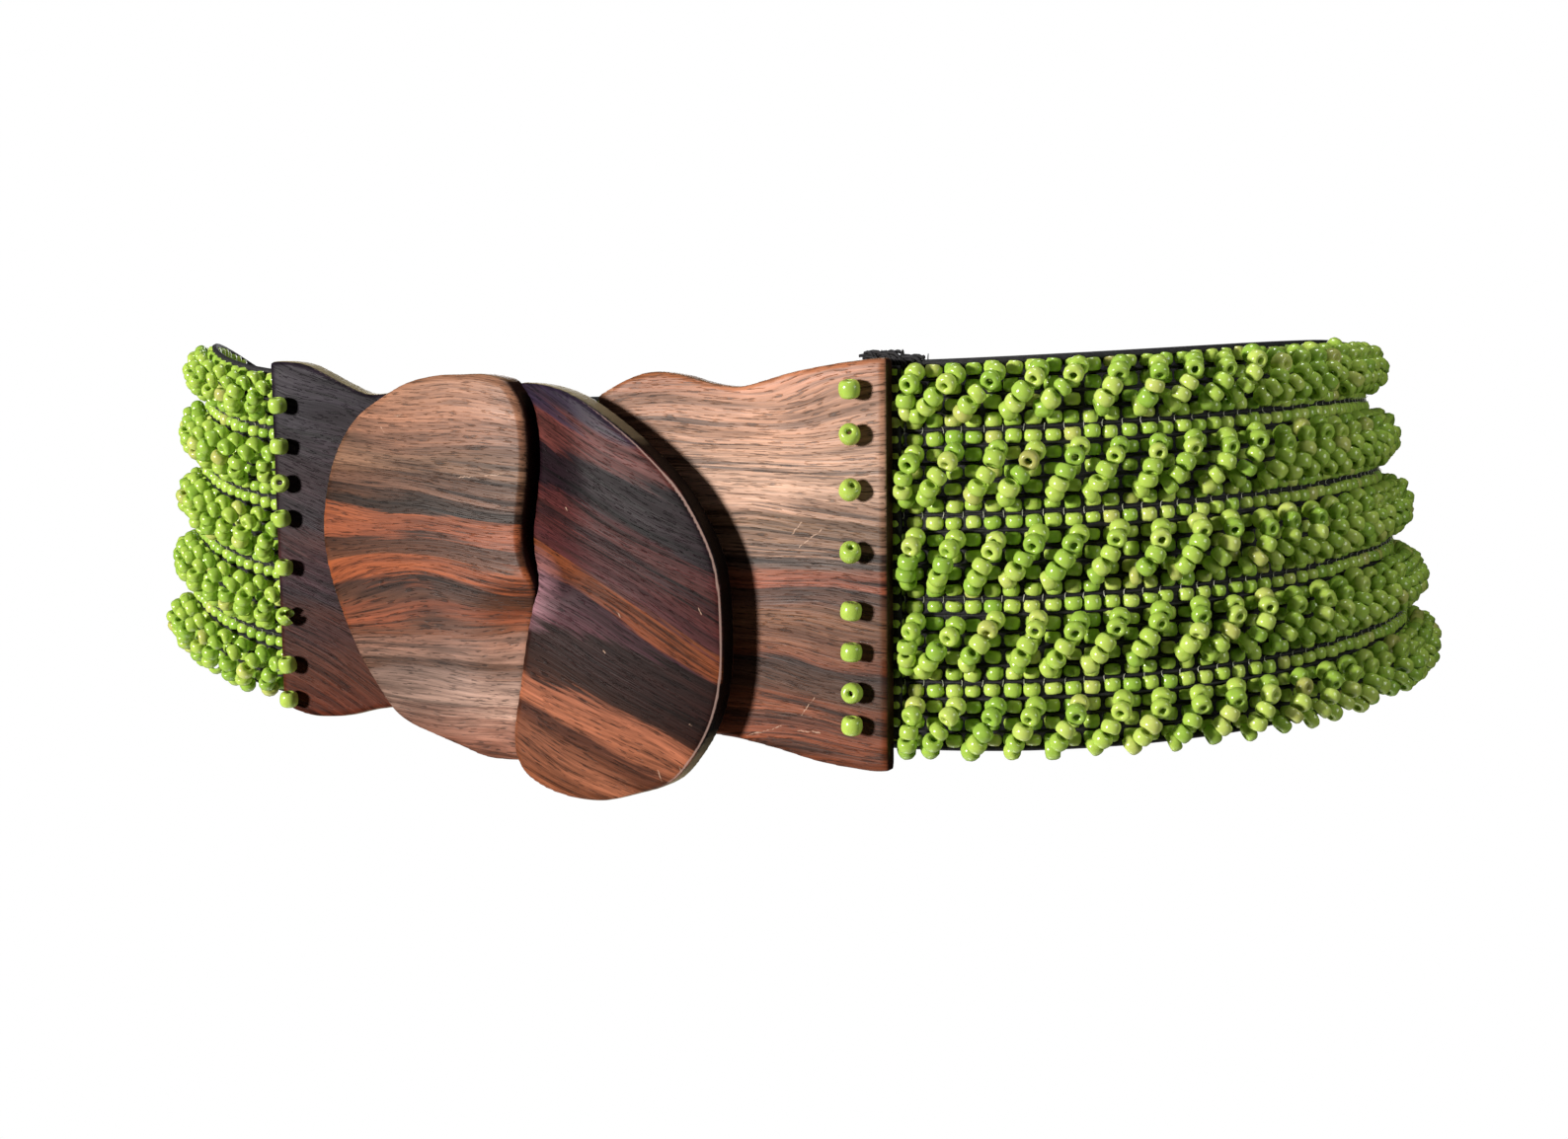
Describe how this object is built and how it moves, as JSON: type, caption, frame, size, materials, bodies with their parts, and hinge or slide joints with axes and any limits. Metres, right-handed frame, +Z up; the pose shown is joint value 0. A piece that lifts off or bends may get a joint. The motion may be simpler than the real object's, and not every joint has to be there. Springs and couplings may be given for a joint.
{
  "type": "beaded stretch belt with a carved wooden hook clasp",
  "caption": "Wide green beaded stretch belt, fastened by two interlocked carved rosewood petals, shown in its worn form.",
  "frame": {"origin": "middle of the waist hollow, level with the middle of the clasp's plates", "axes": "+Z up along the band's width, -Y out through the clasp at the front, +X towards the light half's plate"},
  "size_m": [0.2992, 0.2509, 0.0877],
  "materials": {
    "dark_rosewood": "dark purple-brown rosewood, oiled and polished, straight grain with darker stripes",
    "light_rosewood": "tan to red-brown rosewood, oiled and polished, near-level grain with dark stripes",
    "green_seed_beads": "glossy opaque yellow-green glass seed beads on black stretch cords",
    "stitch_beads": "glossy opaque yellow-green glass beads"
  },
  "bodies": {
    "root": {"clasp_dark_half": "dark_rosewood", "clasp_light_half": "light_rosewood", "woven_band": "green_seed_beads", "stitch_bead_left_1": "stitch_beads", "stitch_bead_left_2": "stitch_beads", "stitch_bead_left_3": "stitch_beads", "stitch_bead_left_4": "stitch_beads", "stitch_bead_left_5": "stitch_beads", "stitch_bead_left_6": "stitch_beads", "stitch_bead_left_7": "stitch_beads", "stitch_bead_left_8": "stitch_beads", "stitch_bead_right_1": "stitch_beads", "stitch_bead_right_2": "stitch_beads", "stitch_bead_right_3": "stitch_beads", "stitch_bead_right_4": "stitch_beads", "stitch_bead_right_5": "stitch_beads", "stitch_bead_right_6": "stitch_beads", "stitch_bead_right_7": "stitch_beads", "stitch_bead_right_8": "stitch_beads"}
  },
  "joints": []
}
